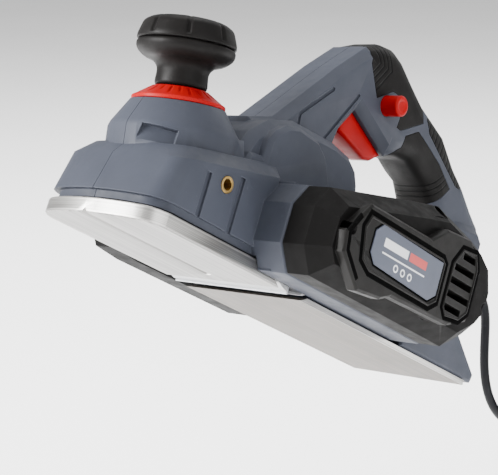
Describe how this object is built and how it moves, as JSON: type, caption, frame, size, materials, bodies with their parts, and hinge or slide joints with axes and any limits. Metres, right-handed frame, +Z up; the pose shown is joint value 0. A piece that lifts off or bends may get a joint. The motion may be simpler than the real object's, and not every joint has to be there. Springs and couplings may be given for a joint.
{
  "type": "electric hand planer",
  "caption": "Corded electric hand planer with side-mounted motor, belt-driven cutter drum, depth knob, looped rear handle with trigger, adjustable front shoe and fixed rear sole.",
  "frame": {"origin": "centre of the rear sole's flat underside", "axes": "+X towards the tail and the cord, -Y towards the motor side, +Z up from the sole"},
  "size_m": [0.4893, 0.16, 0.1678],
  "materials": {
    "slate_casing": "fine-grained moulded plastic",
    "charcoal_cover": "fine-grained moulded plastic",
    "label": "satin printed plate",
    "red_plastic": "semi-gloss moulded plastic",
    "knob_rubber": "soft-touch moulded",
    "grip_rubber": "soft-touch moulded",
    "shoe_aluminium": "ground and brushed",
    "sole_aluminium": "brushed",
    "drum_aluminium": "turned",
    "tool_steel": "ground",
    "bright_steel": "turned",
    "black_steel": "blackened",
    "laminated_iron": "stacked laminations",
    "copper": "turned copper",
    "brass": "turned",
    "carbon": "pressed graphite",
    "fan_nylon": "moulded nylon",
    "belt_rubber": "ribbed rubber",
    "cord_rubber": "satin rubber",
    "tie": "strap"
  },
  "bodies": {
    "root": {"left_casing": "slate_casing", "right_casing": "slate_casing", "motor_cover": "charcoal_cover", "belt_cover": "charcoal_cover", "switch_body": "charcoal_cover", "label_plate": "label", "grip_upper": "grip_rubber", "grip_lower": "grip_rubber", "grip_back": "grip_rubber", "rear_sole": "sole_aluminium", "drum_bearing_left": "bright_steel", "drum_bearing_right": "bright_steel", "motor_bearing_rear": "bright_steel", "motor_bearing_drive": "bright_steel", "trigger_pin": "bright_steel", "trigger_spring": "bright_steel", "cover_screw_1": "black_steel", "cover_screw_2": "black_steel", "cover_screw_3": "black_steel", "casing_screw_1": "black_steel", "casing_screw_2": "black_steel", "casing_screw_3": "black_steel", "casing_screw_4": "black_steel", "sole_screw_1": "black_steel", "sole_screw_2": "black_steel", "belt_cover_screw_1": "black_steel", "belt_cover_screw_2": "black_steel", "stator": "laminated_iron", "guide_insert": "brass", "brush_holder_1": "brass", "brush_holder_2": "brass", "carbon_brush_1": "carbon", "carbon_brush_2": "carbon", "drive_belt": "belt_rubber", "strain_relief": "cord_rubber", "power_cord": "cord_rubber", "cord_coil": "cord_rubber", "plug": "cord_rubber", "cord_tie": "tie"},
    "knob": {"depth_ring": "red_plastic", "knob_stem": "knob_rubber", "knob_cap": "knob_rubber", "depth_screw": "bright_steel"},
    "shoe": {"front_shoe": "shoe_aluminium"},
    "drum": {"cutter_drum": "drum_aluminium", "blade_1": "tool_steel", "blade_2": "tool_steel", "blade_clamp_1": "black_steel", "blade_clamp_2": "black_steel", "drum_shaft": "bright_steel", "drum_pulley": "black_steel"},
    "armature": {"armature_shaft": "bright_steel", "armature_core": "laminated_iron", "commutator": "copper", "cooling_fan": "fan_nylon", "motor_pulley": "black_steel"},
    "trigger": {"trigger": "red_plastic"},
    "lock_button": {"lock_button": "red_plastic"}
  },
  "joints": [
    {"name": "knob_turn", "type": "hinge", "parent": "root", "child": "knob", "pos_m": [-0.1676, 0, 0.073], "axis": [-0.2079, 0, 0.9781], "range_deg": [-150, 150]},
    {"name": "front_shoe_slide", "type": "slide", "parent": "root", "child": "shoe", "axis": [-0.2079, 0, 0.9781], "range_m": [-0.00099, 0.00099]},
    {"name": "drum_spin", "type": "hinge", "parent": "root", "child": "drum", "pos_m": [-0.0905, 0, 0.0235], "axis": [0, 1, 0], "continuous": true},
    {"name": "motor_spin", "type": "hinge", "parent": "root", "child": "armature", "pos_m": [-0.033, 0, 0.038], "axis": [0, 1, 0], "continuous": true},
    {"name": "trigger_pull", "type": "hinge", "parent": "root", "child": "trigger", "pos_m": [-0.044, 0, 0.127], "axis": [0, -1, 0], "range_deg": [0, 8], "stiffness_Nm_per_rad": 0.6, "springref_deg": -11.46, "deforming": ["trigger_spring"]},
    {"name": "lock_button_press", "type": "slide", "parent": "root", "child": "lock_button", "axis": [0, 1, 0], "range_m": [0, 0.004], "stiffness_N_per_m": 300, "springref_m": -0.004}
  ],
  "couplings": [
    {"joint": "knob_turn", "follows": "front_shoe_slide", "rad_per_m": -2631.6},
    {"joint": "motor_spin", "follows": "drum_spin", "ratio": 1.7}
  ]
}
